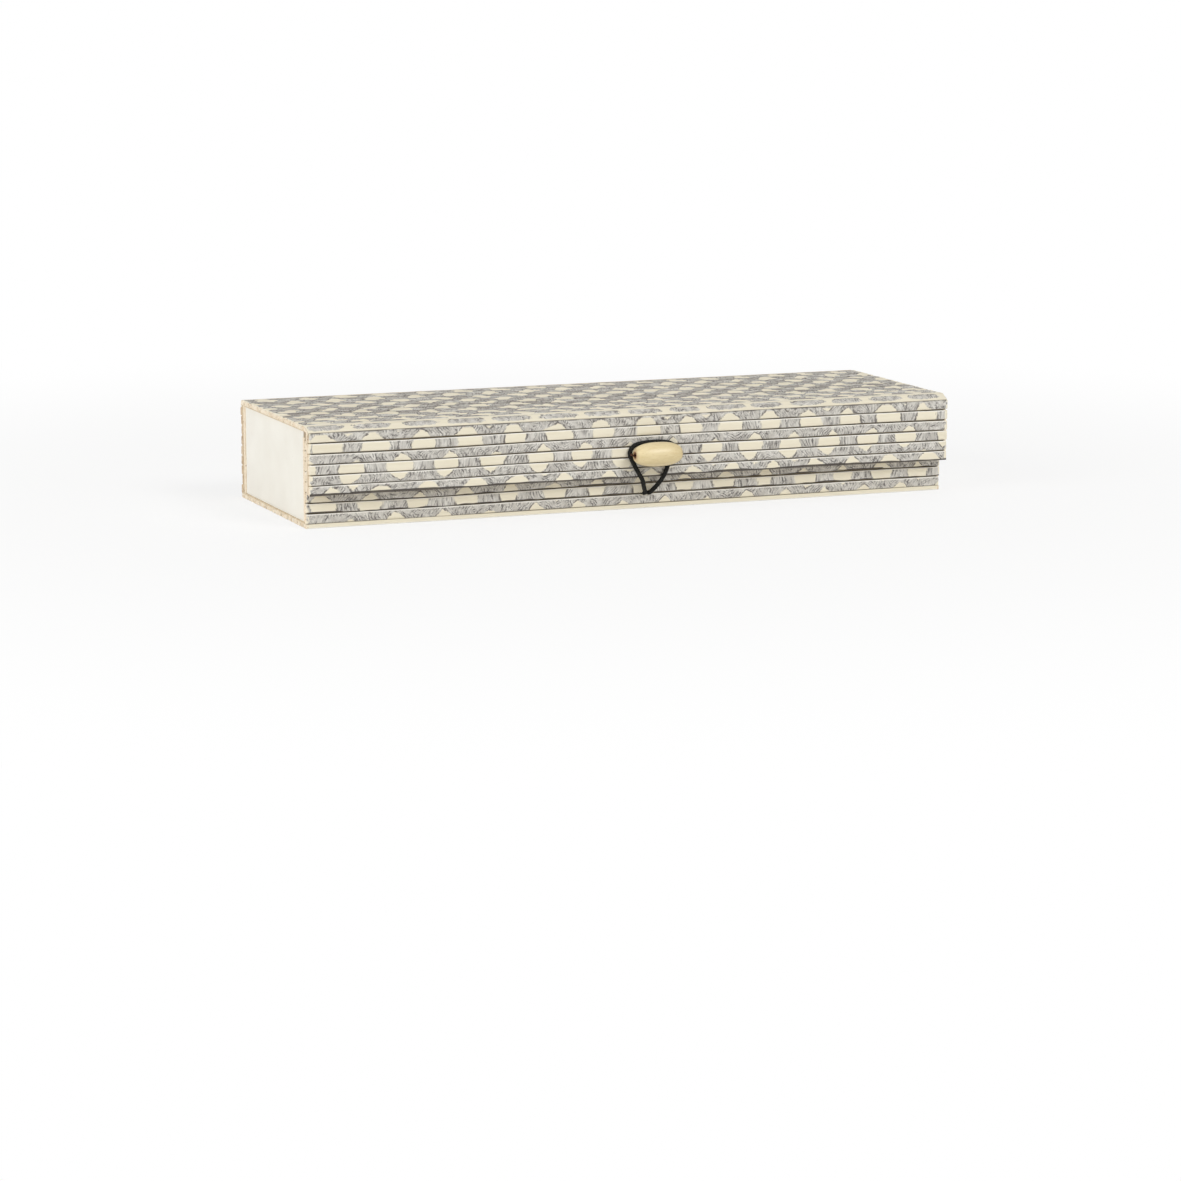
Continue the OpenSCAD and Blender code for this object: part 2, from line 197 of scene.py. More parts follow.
def printFinish(name, dashes=False):
    look = printLook
    finish, tree, shader = newFinish(name, 0.62, 0.28)
    flat = drawnMap(tree, "print")
    own = split(tree, drawnMap(tree, "slat"))
    body = bodyPlace(tree)

    def patchy(scale, low, high, detail=1.0):
        return fade(tree, cloud(tree, flat, scale, detail).outputs[0], low, high)

    # hand-drawn wander of the whole drawing, coarse and fine
    def wander(vector, scale, amount):
        field = cloud(tree, vector, scale, 1.0).outputs["Color"]
        centred = put(tree, "VectorMath", {"operation": "SUBTRACT"}, {0: field, 1: (0.5, 0.5, 0.5)}).outputs[0]
        inputs = {0: centred, "Scale": amount}
        moved = put(tree, "VectorMath", {"operation": "SCALE"}, inputs).outputs[0]
        return put(tree, "VectorMath", {"operation": "ADD"}, {0: vector, 1: moved}).outputs[0]

    drawn = wander(wander(flat, 0.06, 5.6), 0.3, 1.2)
    parts = split(tree, drawn)
    if dashes:
        across = calc(tree, "WRAP", parts[0], look["period"] / 2, -look["period"] / 2)
        level = calc(tree, "SUBTRACT", own[1], look["dashAt"])
        blunt = calc(tree, "ABSOLUTE", calc(tree, "DIVIDE", across, look["dash"][0]))
        blunt = calc(tree, "POWER", blunt, look["blunt"])
        pair = {0: blunt, 1: calc(tree, "DIVIDE", level, look["dash"][1])}
        away = lengthOf(tree, put(tree, "CombineXYZ", {}, pair).outputs[0])
        rings = calc(tree, "MULTIPLY_ADD", cloud(tree, flat, 0.55, 2.0).outputs[0], 1.1, away)
        inked = without(tree, fade(tree, rings, *look["dashInk"]))
        above = without(tree, fade(tree, level, -0.9, 0.2))
        lined = calc(tree, "MULTIPLY", above, patchy(0.2, 0.36, 0.5))
    else:
        level = calc(tree, "SUBTRACT", parts[1], look["rowAt"])
        rings = latticeAt(tree, parts[0], level, look["period"], look["pitch"], look["patch"])
        swell = calc(tree, "MULTIPLY_ADD", cloud(tree, flat, 0.1, 1.0).outputs[0], 0.7, 0.66)
        spread = mark(tree, "spread")
        rings = calc(tree, "MULTIPLY", calc(tree, "MULTIPLY", rings, swell), spread)
        ragged = calc(tree, "SUBTRACT", cloud(tree, flat, 1.3, 3.0, 0.6).outputs[0], 0.5)
        rings = calc(tree, "MULTIPLY_ADD", ragged, look["ragged"], rings)
        girth = split(tree, flat)[1]
        start, full, fall, over = look["foldBand"]
        band = calc(tree, "MULTIPLY", fade(tree, girth, start, full), without(tree, fade(tree, girth, fall, over)))
        inked = calc(tree, "MAXIMUM", fade(tree, rings, *look["patchInk"]), band)
        lined = patchy(0.45, 0.47, 0.6)

    # pencil strokes: some follow the ovals, some slant across the slat
    gap = look["strokeGap"]
    drift = calc(tree, "MULTIPLY", cloud(tree, flat, 0.3, 2.5).outputs[0], 13.0)
    follow = calc(tree, "SINE", calc(tree, "MULTIPLY_ADD", rings, 20.0, drift))
    lean = calc(tree, "MULTIPLY_ADD", cloud(tree, flat, 0.07, 1.0).outputs[0], 7.0, -3.5)
    slantAt = calc(tree, "MULTIPLY_ADD", own[1], lean, own[0])
    unsteady = calc(tree, "MULTIPLY", cloud(tree, flat, 0.45, 2.0).outputs[0], 10.0)
    slant = calc(tree, "SINE", calc(tree, "MULTIPLY_ADD", slantAt, 2 * math.pi / gap, unsteady))
    choice = patchy(0.12, 0.44, 0.56)
    wave = calc(tree, "MULTIPLY_ADD", choice, calc(tree, "SUBTRACT", slant, follow), follow)
    press = calc(tree, "MULTIPLY_ADD", patchy(0.42, 0.36, 0.64), 0.85, 0.15)
    strokes = calc(tree, "MULTIPLY", calc(tree, "MULTIPLY", fade(tree, wave, 0.25, 0.8), press), inked)
    tangle = calc(tree, "MAXIMUM", *(
        scribble(tree, drawn, (0.95, 0.5, 1), turn, (turn, 3, 0), look["tangleThin"]) for turn in look["tangle"]))
    tangle = calc(tree, "MULTIPLY", calc(tree, "MULTIPLY", tangle, inked), calc(tree, "MULTIPLY", press, 0.7))
    strokes = calc(tree, "MAXIMUM", strokes, tangle)
    edgeLine = lineAt(tree, rings, look["dashLine" if dashes else "patchLine"], *look["lineWidth"])
    edgeLine = calc(tree, "MULTIPLY", edgeLine, lined)
    if not dashes:
        foldLine = lineAt(tree, girth, *look["foldLine"])
        edgeLine = calc(tree, "MAXIMUM", edgeLine, calc(tree, "MULTIPLY", foldLine, patchy(0.13, 0.44, 0.54)))

    # bamboo fibres along the slat under the print
    grain = cloud(tree, placed(tree, flat, (0.035, 1.7, 1)), 1.0, 3.0).outputs[0]
    ground = tint(tree, fade(tree, grain, 0.35, 0.75), tone(*look["cream"]), tone(*look["creamDeep"]))
    grey = tint(tree, patchy(0.4, 0.3, 0.7, 3.0), tone(*look["wash"]), tone(*look["washDeep"]))
    colour = tint(tree, calc(tree, "MULTIPLY", inked, 0.92), ground, grey)
    colour = tint(tree, calc(tree, "MULTIPLY", strokes, 0.9), colour, tone(*look["stroke"]))
    colour = tint(tree, calc(tree, "MULTIPLY", edgeLine, 0.8), colour, tone(*look["outline"]))
    shade = mark(tree, "shade")
    streak = fade(tree, cloud(tree, placed(tree, flat, (0.07, 0.4, 1)), 1.0, 3.0).outputs[0], 0.36, 0.54)
    onInk = calc(tree, "MULTIPLY_ADD", inked, 0.75, 0.25)
    streak = calc(tree, "MULTIPLY", calc(tree, "MULTIPLY", shade, streak), onInk)
    inputs = {0: streak, 6: colour, 7: tone(*look["dim"])}
    colour = put(tree, "Mix", {"data_type": "RGBA", "blend_type": "MULTIPLY"}, inputs).outputs[2]

    # the print is rubbed off along the slat's edges, where a painted highlight also lies, strongest on the upper
    # edge; it stops short of its ends, and its sides are bare wood under painted shade
    rim = mark(tree, "rim")
    wornAndHighlit = calc(tree, "MULTIPLY", rim, calc(tree, "MULTIPLY_ADD", cloud(tree, flat, 0.3, 2.0).outputs[0], 1.2, 0.4))
    colour = tint(tree, calc(tree, "MULTIPLY", fade(tree, wornAndHighlit, 0.15, 0.65), 0.95), colour, tone(*look["wearAndHighlightTone"]))
    end = calc(tree, "ABSOLUTE", split(tree, body)[0])
    ragged = calc(tree, "ADD", end, calc(tree, "MULTIPLY", cloud(tree, flat, 0.4, 2.0).outputs[0], 0.005))
    bare = fade(tree, ragged, *look["bareEnd"])
    openSide = mark(tree, "openSide")
    colour = tint(tree, calc(tree, "MAXIMUM", bare, openSide), colour, tone(*look["cream"]))
    # a painted shadow line along the lower edge of the flap's last row and of the tray's front rows
    broken = fade(tree, cloud(tree, placed(tree, flat, (0.07, 0.7, 1)), 1.0, 2.0).outputs[0], 0.36, 0.62)
    paintedShadowLine = mark(tree, "paintedShadowLine")
    least, most = look["paintedShadowLine"]
    reach = calc(tree, "MULTIPLY_ADD", broken, most - least, calc(tree, "MULTIPLY", own[1], paintedShadowLine))
    lined = fade(tree, reach, look["halfWide"] - least, look["halfWide"] - least + 0.12)
    lined = calc(tree, "MULTIPLY", lined, without(tree, openSide))
    colour = tint(tree, calc(tree, "MULTIPLY", lined, 0.95), colour, tone(*look["paintedShadowTone"]))
    # the sides in the gaps take painted shade, broken by patches of their bare pale wood
    side = mark(tree, "side")
    side = calc(tree, "MULTIPLY", side, without(tree, fade(tree, end, *look["tip"])))
    inGap = fade(tree, cloud(tree, placed(tree, flat, (0.09, 0.5, 1)), 1.0, 2.0).outputs[0], 0.4, 0.62)
    sideTone = tint(tree, inGap, tone(*look["side"]), tone(*look["sidePale"]))
    colourIt(tree, shader, tint(tree, side, colour, sideTone))

    relief = calc(tree, "ADD", calc(tree, "MULTIPLY", grain, 0.7), calc(tree, "MULTIPLY", strokes, -0.25))
    relief = calc(tree, "ADD", relief, calc(tree, "MULTIPLY", cloud(tree, flat, 3.0, 2.0).outputs[0], 0.5))
    bumpIt(tree, shader, relief, 0.00012, 0.55)
    gloss = put(tree, "MapRange", {}, {"Value": grain, "To Min": 0.52, "To Max": 0.74}).outputs[0]
    tree.links.new(gloss, shader.inputs["Roughness"])
    return finish


def cutEndFinish(name, pale, deep, speckShare):
    # sawn ends: pale pith with brown fibre dots
    finish, tree, shader = newFinish(name, 0.85, 0.15)
    body = bodyPlace(tree)
    dots = put(tree, "TexVoronoi", {}, {"Vector": body, "Scale": 1000.0, "Randomness": 1.0}).outputs["Distance"]
    patch = cloud(tree, body, 420.0, 3.0).outputs[0]
    ground = tint(tree, fade(tree, patch, 0.35, 0.68), tone(*pale), tone(*deep))
    speck = calc(tree, "MULTIPLY", without(tree, fade(tree, dots, 0.14, 0.32)), fade(tree, patch, 0.4, 0.56))
    colourIt(tree, shader, tint(tree, calc(tree, "MULTIPLY", speck, speckShare), ground, tone(146, 116, 88)))
    bumpIt(tree, shader, calc(tree, "SUBTRACT", patch, dots), 0.0002, 0.6)
    return finish


slatPrint = printFinish("slatPrint")
edgePrint = printFinish("edgePrint", True)
slatEnds = cutEndFinish("slatEnds", (247, 234, 213), (233, 214, 187), 0.85)
backEnds = cutEndFinish("backEnds", (218, 194, 165), (188, 157, 125), 1.0)
print("print finishes made")


slatShape = {
    "edges": (0.52 * mm, 0.5 * mm), "endEdge": 0.14 * mm, "segments": 4, "cuts": 52, "shrink": 0.03 * mm,
    "sway": 0.75 * mm, "swayOwn": 0.07 * mm, "dip": 0.1 * mm, "roll": 0.12 * mm, "endLoss": 0.45 * mm,
    "wearAndHighlight": (0.3, 1.0), "wearAndHighlightFrom": 0.66, "sideShare": 0.78, "shade": 0.12,
    "slip": (2.4, 0.7), "squeeze": (1.0, 0.4),        # how far the print is off from slat to slat, in mm
    "printMiddle": 4.1, "printDrift": 0.00033,
}
sealShape = {"long": 0.5 * mm, "tall": 1.35 * mm, "inset": 0.75 * mm}


def field(*place):
    return noise.noise(Vector(place))


def addSlat(bm, settings):
    # one slat, made flat at the origin and then set on its cloth
    shape = slatShape
    length, width, thick = settings["size"]
    low, high = settings.get("mitre", (0, 0))
    edges = settings.get("edges", shape["edges"])
    wearsAndHighlights = settings.get("wearAndHighlight", shape["wearAndHighlight"])
    width -= shape["shrink"]
    key, calm = settings["key"], settings.get("calm", 1.0)
    one = bmesh.new()
    bmesh.ops.create_cube(
        one, size=1, matrix=Matrix.Translation((0, 0, thick / 2)) @ Matrix.Diagonal((length, width, thick, 1)))
    for v in one.verts:
        if v.co.z < thick / 2:
            v.co.y += low if v.co.y < 0 else -high

    def longEdges():
        return [e for e in one.edges if abs(e.verts[0].co.x - e.verts[1].co.x) > length / 2]

    for side, offset in zip((-1, 1), edges):
        chosen = [e for e in longEdges() if e.verts[0].co.z > thick * 0.9 and e.verts[0].co.y * side > width * 0.4]
        bmesh.ops.bevel(
            one, geom=chosen, offset=offset, offset_type="OFFSET", affect="EDGES",
            segments=shape["segments"], profile=0.5, material=-1)
    ends = [e for e in one.edges if abs(e.verts[0].co.x - e.verts[1].co.x) < 1e-7
            and max(e.verts[0].co.z, e.verts[1].co.z) > thick * 0.1]
    bmesh.ops.bevel(
        one, geom=ends, offset=shape["endEdge"], offset_type="OFFSET", affect="EDGES",
        segments=2, profile=0.5, material=-1)
    bmesh.ops.subdivide_edges(one, edges=longEdges(), cuts=shape["cuts"], use_grid_fill=True)
    for f in one.faces:
        f.material_index = 1 if abs(f.normal.x) > 0.9 else 0

    printMap = one.loops.layers.uv.new("print")
    slatMap = one.loops.layers.uv.new("slat")
    rim, side, openSide, shade, paintedShadowLine, spread = (
        one.verts.layers.float.new(n) for n in ("rim", "side", "openSide", "shade", "paintedShadowLine", "spread"))
    slips = settings.get("slip", shape["slip"])
    slipX, slipY = (a * field(key * 3.7, 9.1 + i * 5.3, 2.2) * 1.6 for i, a in enumerate(slips))
    for v in one.verts:
        # rim: worn print plus a painted highlight along the long edges, set per edge
        outwards = (abs(v.co.y) / (width / 2) - shape["wearAndHighlightFrom"]) / (1 - shape["wearAndHighlightFrom"])
        v[rim] = wearsAndHighlights[v.co.y > 0] * min(1.0, max(0.0, outwards))
        isOpen = settings.get("open", (False, False))[v.co.y > 0]
        onSide = v.co.z < thick * shape["sideShare"]
        v[side] = float(onSide and not isOpen)
        v[openSide] = max(float(onSide and isOpen), settings.get("plain", 0.0))
        v[paintedShadowLine] = settings.get("paintedShadowLine", 0.0)
        v[spread] = settings.get("spread", 1.0)
        v[shade] = settings.get("shade", shape["shade"]) * (0.75 + 0.4 * field(key * 2.9, 1.7, 6.6))
    crowd, squeeze = settings.get("crowd", 1.0), shape["squeeze"][settings.get("blocks", False)]
    for f in one.faces:
        for corner in f.loops:
            x, y = corner.vert.co.x / mm - shape["printMiddle"], corner.vert.co.y / mm
            along = crowd * (x + shape["printDrift"] * x * x) + slipX
            corner[printMap].uv = (along, settings["printAt"] - squeeze * y + slipY)
            corner[slatMap].uv = (x, -y + settings.get("ownAt", 0))

    loss = settings.get("endLoss", shape["endLoss"])
    lossLeft, lossRight = (loss * (0.5 + 0.9 * field(key * 5.9, 3.3 + i * 7.7, 0.4)) for i in (0, 1))
    for v in one.verts:
        x, share, reach = v.co.x, v.co.z / thick, 2 * v.co.y / width
        v.co.x += max(0, lossLeft) * (-x / length + 0.5) - max(0, lossRight) * (x / length + 0.5)
        v.co.y += calm * shape["sway"] * field(x / 0.06, settings["printAt"] / 26, 4.7)
        v.co.y += calm * shape["swayOwn"] * field(x / 0.03, key * 2.3, 8.8)
        lean = field(x / 0.11, key * 1.3, 5.5) * 2
        fall = shape["dip"] * (0.45 + 0.9 * field(x / 0.04, key * 1.9, 1.1))
        fall += shape["roll"] * abs(lean) * (0.5 + 0.5 * reach * math.copysign(1, lean)) * settings.get("roll", 0.3)
        v.co.z -= share * max(0, fall) * (calm > 0)
    bmesh.ops.transform(one, matrix=settings["place"], verts=one.verts)
    sheet = bpy.data.meshes.new("slat")
    one.to_mesh(sheet)
    one.free()
    bm.from_mesh(sheet)
    bpy.data.meshes.remove(sheet)


def sealEnds(bm, width, seatOf, reach):
    # glue that fills the ends of the gaps between the slats
    half = reach - sealShape["inset"]
    block = Matrix.Diagonal((sealShape["long"], width, sealShape["tall"], 1))
    for hand in (-1, 1):
        made = bmesh.ops.create_cube(
            bm, size=1, matrix=seatOf @ Matrix.Translation((hand * half, 0, sealShape["tall"] / 2)) @ block)
        for f in {f for v in made["verts"] for f in v.link_faces}:
            f.material_index = 1


def seat(across, out, middle):
    # turns a flat slat so that it faces out, with its middle on the cloth
    side = Vector(across).normalized()
    turn = Matrix((Vector((1, 0, 0)), side, Vector(out).normalized())).transposed().to_4x4()
    return Matrix.Translation(middle) @ turn


def makePiece(name, bm, finishes, body, replaced=(), angle=40):
    bmesh.ops.remove_doubles(bm, verts=bm.verts, dist=1e-7)
    bmesh.ops.recalc_face_normals(bm, faces=bm.faces)
    sheet = bpy.data.meshes.new(name)
    bm.to_mesh(sheet)
    bm.free()
    for finish in finishes:
        sheet.materials.append(finish)
    sheet.polygons.foreach_set("use_smooth", [True] * len(sheet.polygons))
    sheet.set_sharp_from_angle(angle=math.radians(angle))
    piece = bpy.data.objects.new(name, sheet)
    scene.collection.objects.link(piece)
    if body:
        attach(piece, body)
    if replaced:
        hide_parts(*replaced)
    return piece


drillBit = {"sides": 32, "deep": 12 * mm}


def drill(piece, holes):
    # round holes along Y, each given by its middle and diameter
    for x, y, z, wide in holes:
        bm = bmesh.new()
        bmesh.ops.create_cone(
            bm, cap_ends=True, segments=drillBit["sides"], radius1=wide / 2, radius2=wide / 2, depth=drillBit["deep"],
            matrix=Matrix.Translation((x, y, z)) @ Matrix.Rotation(math.pi / 2, 4, "X"))
        sheet = bpy.data.meshes.new("drillBit")
        bm.to_mesh(sheet)
        bm.free()
        bit = bpy.data.objects.new("drillBit", sheet)
        scene.collection.objects.link(bit)
        cut = piece.modifiers.new("hole", "BOOLEAN")
        cut.object, cut.solver, cut.operation = bit, "EXACT", "DIFFERENCE"
        bpy.context.view_layer.objects.active = piece
        with bpy.context.temp_override(object=piece, active_object=piece, selected_objects=[piece]):
            bpy.ops.object.modifier_apply(modifier=cut.name)
        bpy.data.objects.remove(bit)
        bpy.data.meshes.remove(sheet)


# lid: top, tilted front edge and flap share one run of print

lidMat = {
    "topRows": 21, "flapRows": 6, "tilt": 28, "edgeWidth": 2.8 * mm, "edgeTrim": 0.03 * mm, "closeUp": 0.13 * mm,
    "turnEdge": 0.12 * mm, "topEdge": 0.55 * mm, "backEdge": 1.15 * mm, "shadowLineEdge": 0.16 * mm,
    "flapShift": (0, 0, 0.4, 0, -0.9, -2.4), "flapSpread": (1.0, 1.0, 1.35, 1.0, 1.15, 1.0), "blockRows": (2, 4),
    "topCrowd": 1.15, "topSpread": 1.12, "topSlip": (3.4, 1.3), "topShade": 0.88, "topLoss": 0.12 * mm,
}
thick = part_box("top_slat_2")[1].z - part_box("top_slat_2")[0].z
tilt = math.radians(lidMat["tilt"])
riseTop, riseFlap = thick * math.tan(tilt / 2), thick * math.tan((math.pi / 2 - tilt) / 2)
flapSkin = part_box("flap_slat_2")[1].y
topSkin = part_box("top_slat_2")[0].z
edgeLow = Vector((0, flapSkin, topSkin - lidMat["edgeWidth"] * math.sin(tilt)))
edgeTop = Vector((0, flapSkin + lidMat["edgeWidth"] * math.cos(tilt), topSkin))
turnZ = edgeLow.z + riseFlap          # where the print turns from the tilted edge to the flap
edgeWide = lidMat["edgeWidth"] + riseTop + riseFlap
turnY = edgeTop.y - riseTop           # where it turns from the top to the tilted edge

bm = bmesh.new()
for i in range(1, lidMat["topRows"] + 1):
    low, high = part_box(f"top_slat_{i}")
    middle = (low + high) / 2
    first, last = i == 1, i == lidMat["topRows"]
    width = high.y - low.y + (lidMat["closeUp"] if first else 0)
    middle.y -= lidMat["closeUp"] / 2 if first else 0
    addSlat(bm, {
        "size": (high.x - low.x, width, thick), "key": i, "calm": min(1, (i - 1) / 3),
        "edges": (lidMat["turnEdge" if first else "topEdge"], lidMat["backEdge" if last else "topEdge"]),
        "wearAndHighlight": (0.2, 0.0), "slip": lidMat["topSlip"], "roll": 1.0, "shade": lidMat["topShade"],
        "endLoss": lidMat["topLoss"], "open": (first, last),
        "crowd": lidMat["topCrowd"], "plain": 0.85 * first, "spread": lidMat["topSpread"],
        "printAt": (-edgeWide - (middle.y - turnY)) / mm,
        "place": seat((0, 1, 0), (0, 0, 1), (0, middle.y, low.z)),
    })
low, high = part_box("top_slat_1")[0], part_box(f"top_slat_{lidMat['topRows']}")[1]
sealEnds(
    bm, high.y - low.y, seat((0, 1, 0), (0, 0, 1), (0, (low.y + high.y) / 2, low.z)), high.x)
makePiece(
    "topSlats", bm, [slatPrint, slatEnds], "lid",
    [f"top_slat_{i}" for i in range(1, lidMat["topRows"] + 1)])

bm = bmesh.new()
across = edgeTop - edgeLow
addSlat(bm, {
    "size": (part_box("edge_slat")[1].x * 2, edgeWide - lidMat["edgeTrim"], thick), "key": 40, "calm": 0,
    "mitre": (riseFlap, riseTop), "edges": (lidMat["turnEdge"], lidMat["turnEdge"]),
    "printAt": -edgeWide / 2 / mm, "ownAt": -edgeWide / 2 / mm, "wearAndHighlight": (0.0, 0.1), "open": (True, True),
    "place": seat(across, (0, -across.z, across.y), (edgeLow + edgeTop) / 2
                  + across.normalized() * (riseTop - riseFlap) / 2),
})
makePiece("edgeSlat", bm, [edgePrint, slatEnds], "lid", ["edge_slat"])

bm = bmesh.new()
for i in range(1, lidMat["flapRows"] + 1):
    low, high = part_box(f"flap_slat_{i}")
    first, last = i == 1, i == lidMat["flapRows"]
    top = high.z + (lidMat["closeUp"] if first else 0)
    addSlat(bm, {
        "size": (high.x - low.x, top - low.z, thick), "key": 50 + i, "calm": min(1, (i - 1) / 2),
        "mitre": (0, riseFlap if first else 0),
        "wearAndHighlight": (0.3, 0.12 if first else 0.9), "paintedShadowLine": float(last), "blocks": i in lidMat["blockRows"],
        "spread": lidMat["flapSpread"][i - 1], "open": (last, first),
        "edges": (lidMat["shadowLineEdge"] if last else slatShape["edges"][0],
                  lidMat["turnEdge"] if first else slatShape["edges"][1]),
        "printAt": (turnZ - (low.z + top) / 2) / mm + lidMat["flapShift"][i - 1],
        "place": seat((0, 0, 1), (0, -1, 0), (0, high.y, (low.z + top) / 2)),
    })
low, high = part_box(f"flap_slat_{lidMat['flapRows']}")[0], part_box("flap_slat_2")[1]
sealEnds(
    bm, high.z - low.z, seat((0, 0, 1), (0, -1, 0), (0, high.y, (low.z + high.z) / 2)), high.x)
flapSlats = makePiece(
    "flapSlats", bm, [slatPrint, slatEnds], "lid",
    [f"flap_slat_{i}" for i in range(1, lidMat["flapRows"] + 1)])
print("lid mat made")


# tray: front, back and underside

trayMat = {
    "frontRows": 8, "backRows": 9, "bottomRows": 21, "gap": 0.35 * mm, "frontPrint": 14.0, "backPrint": -50.0,
    "frontSpread": (1.0, 1.25), "frontShadowLine": 0.67, "slip": (2.2, 0.8), "bottomLoss": 0.15 * mm,
}
bm = bmesh.new()
for i in range(1, trayMat["frontRows"] + 1):
    low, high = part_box(f"front_slat_{i}")
    addSlat(bm, {
        "size": (high.x - low.x, high.z - low.z, thick), "key": 70 + i, "calm": min(1, i / 3),
        "open": (i == 1, i == trayMat["frontRows"]), "blocks": i % 2 == 0,
        "spread": trayMat["frontSpread"][i % 2], "paintedShadowLine": trayMat["frontShadowLine"] if i > 1 else 0.0,
        "printAt": trayMat["frontPrint"] - (low.z + high.z) / 2 / mm,
        "place": seat((0, 0, 1), (0, -1, 0), (0, high.y, (low.z + high.z) / 2)),
    })
low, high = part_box("front_slat_1")[0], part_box(f"front_slat_{trayMat['frontRows']}")[1]
sealEnds(
    bm, high.z - low.z, seat((0, 0, 1), (0, -1, 0), (0, high.y, (low.z + high.z) / 2)), high.x)
frontSlats = makePiece(
    "frontSlats", bm, [slatPrint, slatEnds], "tray",
    [f"front_slat_{i}" for i in range(1, trayMat["frontRows"] + 1)])

bm = bmesh.new()
low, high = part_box("back_slats")
pitch = (high.z - low.z + trayMat["gap"]) / trayMat["backRows"]
for i in range(trayMat["backRows"]):
    z = low.z + (i + 0.5) * pitch - trayMat["gap"] / 2
    last = i == trayMat["backRows"] - 1
    addSlat(bm, {
        "size": (high.x - low.x, pitch - trayMat["gap"], thick), "key": 90 + i, "slip": trayMat["slip"],
        "open": (last, i == 0),
        "edges": (lidMat["backEdge"] if last else slatShape["edges"][0], slatShape["edges"][1]),
        "printAt": trayMat["backPrint"] + z / mm,
        "place": seat((0, 0, -1), (0, 1, 0), (0, low.y, z)),
    })
sealEnds(
    bm, high.z - low.z, seat((0, 0, -1), (0, 1, 0), (0, low.y, (low.z + high.z) / 2)), high.x)
makePiece("backSlats", bm, [slatPrint, backEnds], "tray", ["back_slats"])

bm = bmesh.new()
low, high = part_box("bottom_slats")
pitch = (high.y - low.y + trayMat["gap"]) / trayMat["bottomRows"]
for i in range(trayMat["bottomRows"]):
    y = low.y + (i + 0.5) * pitch - trayMat["gap"] / 2
    addSlat(bm, {
        "size": (high.x - low.x, pitch - trayMat["gap"], thick), "key": 110 + i, "slip": trayMat["slip"],
        "endLoss": trayMat["bottomLoss"],
        "open": (i == trayMat["bottomRows"] - 1, i == 0),
        "calm": min(1, i / 3, (trayMat["bottomRows"] - 1 - i) / 3),
        "printAt": trayMat["frontPrint"] + (y - low.y) / mm,
        "place": seat((0, -1, 0), (0, 0, -1), (0, y, high.z)),
    })
sealEnds(
    bm, high.y - low.y, seat((0, -1, 0), (0, 0, -1), (0, (low.y + high.y) / 2, high.z)), high.x)
makePiece("bottomSlats", bm, [slatPrint, slatEnds], "tray", ["bottom_slats"])
print("tray mats made")


# boards, cloth and paper that stay as the frame has them

def boardFinish():
    finish, tree, shader = newFinish("pressedBoard", 0.88, 0.12)
    body = bodyPlace(tree)
    fibre = cloud(tree, body, 900.0, 4.0, 0.6).outputs[0]
    fleck = put(tree, "TexVoronoi", {}, {"Vector": body, "Scale": 900.0}).outputs["Distance"]
    ground = tint(tree, fade(tree, fibre, 0.3, 0.7), tone(248, 235, 214), tone(235, 217, 190))
    dark = calc(tree, "MULTIPLY", without(tree, fade(tree, fleck, 0.12, 0.3)), fade(tree, fibre, 0.5, 0.62))
    colourIt(tree, shader, tint(tree, dark, ground, tone(150, 118, 86)))
    bumpIt(tree, shader, fibre, 0.00025, 0.6)
    return finish


clothLook = {"thread": 0.55 * mm}


def clothFinish():
    # plain weave of unbleached threads
    finish, tree, shader = newFinish("backingCloth", 0.9, 0.1)
    body = bodyPlace(tree)
    parts = split(tree, body)
    girth = calc(tree, "SUBTRACT", parts[1], parts[2])
    often = 2 * math.pi / clothLook["thread"]
    threads = [calc(tree, "SINE", calc(tree, "MULTIPLY", way, often)) for way in (parts[0], girth)]
    weave = calc(tree, "MULTIPLY", *threads)
    slub = cloud(tree, placed(tree, body, (150, 900, 900)), 1.0, 2.0).outputs[0]
    ground = tint(tree, fade(tree, slub, 0.3, 0.7), tone(232, 216, 189), tone(214, 194, 162))
    colourIt(tree, shader, tint(tree, fade(tree, weave, 0.2, 0.9), ground, tone(196, 173, 140)))
    bumpIt(tree, shader, weave, 0.00012, 0.7)
    return finish


def paperFinish(name, pale, deep, fleckTone, fleckShare):
    finish, tree, shader = newFinish(name, 0.72, 0.2)
    body = bodyPlace(tree)
    patch = cloud(tree, body, 55.0, 3.0).outputs[0]
    fibre = cloud(tree, body, 1400.0, 3.0, 0.6).outputs[0]
    ground = tint(tree, fade(tree, patch, 0.25, 0.8), tone(*pale), tone(*deep))
    hair = scribble(tree, body, (260, 420, 300), 25, (1, 2, 0), 0.012)
    marks = calc(tree, "MULTIPLY", hair, fade(tree, cloud(tree, body, 120.0, 1.0).outputs[0], 0.55, 0.7))
    colourIt(tree, shader, tint(tree, calc(tree, "MULTIPLY", marks, fleckShare), ground, tone(*fleckTone)))
    bumpIt(tree, shader, calc(tree, "ADD", fibre, calc(tree, "MULTIPLY", patch, 0.6)), 0.00008, 0.5)
    return finish


def dress(finishes):
    for name, finish in finishes.items():
        nodes[name].data.materials.clear()
        nodes[name].data.materials.append(finish)


board = boardFinish()
cloth = clothFinish()
whitePaper = paperFinish("whitePaper", (246, 243, 234), (240, 236, 226), (222, 214, 198), 0.25)
creamPaper = paperFinish("creamPaper", (241, 233, 212), (236, 226, 202), (198, 178, 142), 0.4)
dress({
    "bottom_board": board, "front_board": board, "back_board": board, "end_board_left": board,
    "end_board_right": board, "lid_board": board, "flap_board": board,
    "base_cloth": cloth, "lid_cloth": cloth,
    "end_paper_left": whitePaper, "end_paper_right": whitePaper,
    "tray_lining": creamPaper, "lid_lining": creamPaper,
})
print("carried nodes finished")


# the fold of cloth along the hinge

